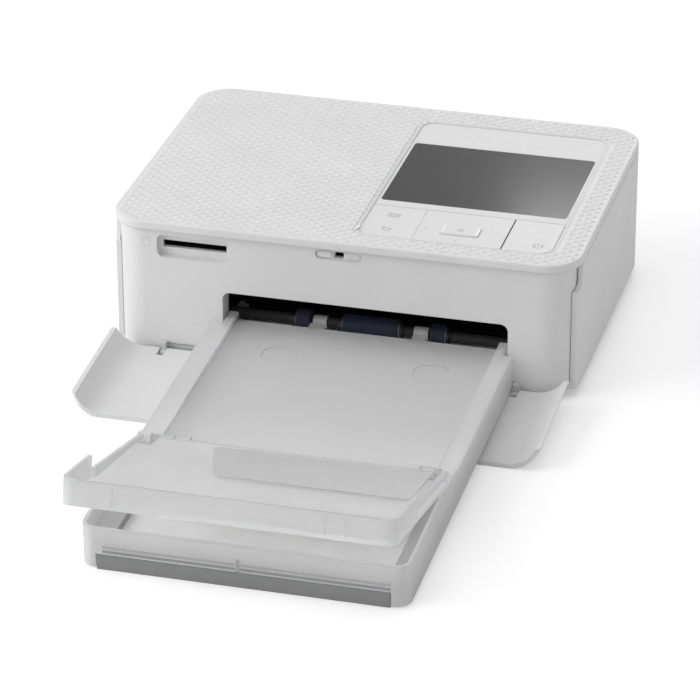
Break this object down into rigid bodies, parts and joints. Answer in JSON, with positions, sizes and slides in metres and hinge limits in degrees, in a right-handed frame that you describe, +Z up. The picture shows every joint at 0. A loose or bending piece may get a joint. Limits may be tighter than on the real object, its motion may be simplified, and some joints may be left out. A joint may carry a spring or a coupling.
{
  "type": "compact photo printer",
  "caption": "Small dye-sublimation photo printer with an open front door, a display and keys on top, and a paper cassette with a raised output lid.",
  "frame": {"origin": "on the ground, in the middle of the space from the tip of the paper cassette's raised lid to the body's back", "axes": "+X to the right seen from the front, +Y to the back, +Z up"},
  "size_m": [0.1822, 0.3124, 0.0576],
  "materials": {
    "white_plastic": "fine matt, white",
    "pale_plastic": "matt, pale grey",
    "frosted_plastic": "frosted, slightly translucent",
    "grey_plastic": "matt, mid grey",
    "black_plastic": "matt, black",
    "display_glass": "clear, glossy",
    "steel": "plain sheet and rod",
    "aluminium": "plain",
    "brass": "plain",
    "navy_rubber": "matt, dark blue",
    "black_rubber": "matt, black",
    "board": "coated circuit board",
    "paper": "smooth white photo paper"
  },
  "bodies": {
    "case": {"top_cover": "white_plastic", "front_panel": "white_plastic", "rear_panel": "white_plastic", "left_panel": "white_plastic", "bottom_chassis": "pale_plastic", "ink_door_pins": "steel", "front_door_pins": "steel", "rubber_feet": "grey_plastic", "case_screws": "steel", "control_bezel": "white_plastic", "display_window": "display_glass", "display_module": "black_plastic", "key_board": "board", "main_board": "board", "card_socket": "steel", "usb_socket": "steel", "dc_jack": "black_plastic", "fan_frame": "black_plastic", "left_frame": "steel", "right_frame": "steel", "paper_guide": "black_plastic", "idler_studs": "steel", "feed_motor": "steel", "head_shaft": "steel"},
    "ink_door": {"ink_door": "white_plastic"},
    "front_door": {"front_door": "white_plastic"},
    "menu_key": {"menu_key": "white_plastic"},
    "select_key": {"select_key": "white_plastic"},
    "ok_button": {"ok_button": "white_plastic"},
    "power_key": {"power_key": "white_plastic"},
    "fan_rotor": {"fan_rotor": "black_plastic"},
    "pickup_rollers": {"pickup_shaft": "pale_plastic", "pickup_roller_centre": "navy_rubber", "pickup_rollers_side": "navy_rubber", "pickup_collars": "white_plastic", "pickup_gear": "pale_plastic"},
    "platen": {"platen_roller": "black_rubber", "platen_gear": "pale_plastic"},
    "capstan": {"capstan_roller": "steel", "capstan_gear": "pale_plastic"},
    "pinch": {"pinch_roller": "black_rubber"},
    "idler_large": {"idler_gear_large": "pale_plastic"},
    "idler_rear": {"idler_gear_rear": "pale_plastic"},
    "idler_front": {"idler_gear_front": "pale_plastic"},
    "pinion": {"motor_pinion": "brass"},
    "thermal_head": {"thermal_head": "aluminium", "head_arms": "steel"},
    "ink_cassette": {"ink_cassette": "black_plastic", "ink_ribbon": "navy_rubber"},
    "supply_spool": {"supply_spool": "black_plastic"},
    "takeup_spool": {"takeup_spool": "black_plastic"},
    "ribbon_drive": {"ribbon_drive": "pale_plastic"},
    "paper_cassette": {"cassette_base": "frosted_plastic", "cassette_foot": "grey_plastic", "lid_pins": "steel", "lift_plate": "steel", "lift_spring": "steel", "paper_stack": "paper"},
    "inner_lid": {"inner_lid": "frosted_plastic"},
    "outer_lid": {"outer_lid": "frosted_plastic"}
  },
  "joints": [
    {"name": "front_door_hinge", "type": "hinge", "parent": "case", "child": "front_door", "pos_m": [0, 0.02243, 0.0026], "axis": [-1, 0, 0], "range_deg": [0, 2.2]},
    {"name": "ink_door_hinge", "type": "hinge", "parent": "case", "child": "ink_door", "pos_m": [0.0873, 0.08973, 0.006], "axis": [0, 1, 0], "range_deg": [0, 90]},
    {"name": "ink_cassette_slide", "type": "slide", "parent": "case", "child": "ink_cassette", "axis": [1, 0, 0], "range_m": [0, 0.04]},
    {"name": "paper_cassette_slide", "type": "slide", "parent": "case", "child": "paper_cassette", "axis": [0, -1, 0], "range_m": [0, 0.04]},
    {"name": "inner_lid_hinge", "type": "hinge", "parent": "paper_cassette", "child": "inner_lid", "pos_m": [0.0097, -0.06875, 0.01652], "axis": [1, 0, 0], "range_deg": [0, 6]},
    {"name": "outer_lid_hinge", "type": "hinge", "parent": "paper_cassette", "child": "outer_lid", "pos_m": [0.0097, -0.06875, 0.01652], "axis": [-1, 0, 0], "range_deg": [0, 90]},
    {"name": "menu_key_press", "type": "slide", "parent": "case", "child": "menu_key", "axis": [0, 0, -1], "range_m": [0, 0.0006], "stiffness_N_per_m": 400, "springref_m": -0.0003},
    {"name": "select_key_press", "type": "slide", "parent": "case", "child": "select_key", "axis": [0, 0, -1], "range_m": [0, 0.0006], "stiffness_N_per_m": 400, "springref_m": -0.0003},
    {"name": "ok_button_press", "type": "slide", "parent": "case", "child": "ok_button", "axis": [0, 0, -1], "range_m": [0, 0.0006], "stiffness_N_per_m": 400, "springref_m": -0.0003},
    {"name": "power_key_press", "type": "slide", "parent": "case", "child": "power_key", "axis": [0, 0, -1], "range_m": [0, 0.0006], "stiffness_N_per_m": 400, "springref_m": -0.0003},
    {"name": "fan_spin", "type": "hinge", "parent": "case", "child": "fan_rotor", "pos_m": [-0.0655, 0.14623, 0.024], "axis": [0, 1, 0], "continuous": true},
    {"name": "platen_spin", "type": "hinge", "parent": "case", "child": "platen", "pos_m": [0, 0.09123, 0.0145], "axis": [1, 0, 0], "continuous": true},
    {"name": "capstan_spin", "type": "hinge", "parent": "case", "child": "capstan", "pos_m": [0, 0.13123, 0.0175], "axis": [1, 0, 0], "continuous": true},
    {"name": "pinch_spin", "type": "hinge", "parent": "case", "child": "pinch", "pos_m": [0, 0.13123, 0.0258], "axis": [1, 0, 0], "continuous": true},
    {"name": "pickup_spin", "type": "hinge", "parent": "case", "child": "pickup_rollers", "pos_m": [0, 0.03923, 0.0159], "axis": [1, 0, 0], "continuous": true},
    {"name": "idler_large_spin", "type": "hinge", "parent": "case", "child": "idler_large", "pos_m": [-0.055, 0.11082, 0.0215], "axis": [1, 0, 0], "continuous": true},
    {"name": "idler_rear_spin", "type": "hinge", "parent": "case", "child": "idler_rear", "pos_m": [-0.055, 0.07413, 0.01865], "axis": [1, 0, 0], "continuous": true},
    {"name": "idler_front_spin", "type": "hinge", "parent": "case", "child": "idler_front", "pos_m": [-0.055, 0.05654, 0.01912], "axis": [1, 0, 0], "continuous": true},
    {"name": "pinion_spin", "type": "hinge", "parent": "case", "child": "pinion", "pos_m": [-0.055, 0.09706, 0.03113], "axis": [1, 0, 0], "continuous": true},
    {"name": "thermal_head_press", "type": "hinge", "parent": "case", "child": "thermal_head", "pos_m": [0.0097, 0.12723, 0.045], "axis": [1, 0, 0], "range_deg": [0, 6.5], "stiffness_Nm_per_rad": 0.5, "springref_deg": -2.86},
    {"name": "takeup_spin", "type": "hinge", "parent": "ink_cassette", "child": "takeup_spool", "pos_m": [0, 0.11323, 0.0335], "axis": [1, 0, 0], "continuous": true},
    {"name": "supply_spin", "type": "hinge", "parent": "ink_cassette", "child": "supply_spool", "pos_m": [0, 0.07123, 0.0335], "axis": [1, 0, 0], "continuous": true},
    {"name": "ribbon_drive_spin", "type": "hinge", "parent": "case", "child": "ribbon_drive", "pos_m": [-0.048, 0.11323, 0.0335], "axis": [1, 0, 0], "continuous": true}
  ],
  "couplings": [
    {"joint": "ink_cassette_slide", "follows": "ink_door_hinge", "m_per_rad": 0.025464},
    {"joint": "idler_large_spin", "follows": "platen_spin", "ratio": -0.73333},
    {"joint": "capstan_spin", "follows": "platen_spin", "ratio": 1},
    {"joint": "pinch_spin", "follows": "platen_spin", "ratio": -1},
    {"joint": "pinion_spin", "follows": "platen_spin", "ratio": 1.8333},
    {"joint": "idler_rear_spin", "follows": "platen_spin", "ratio": -1},
    {"joint": "idler_front_spin", "follows": "platen_spin", "ratio": 1},
    {"joint": "pickup_spin", "follows": "platen_spin", "ratio": -1},
    {"joint": "supply_spin", "follows": "takeup_spin", "ratio": 0.51515},
    {"joint": "ribbon_drive_spin", "follows": "takeup_spin", "ratio": 1}
  ]
}
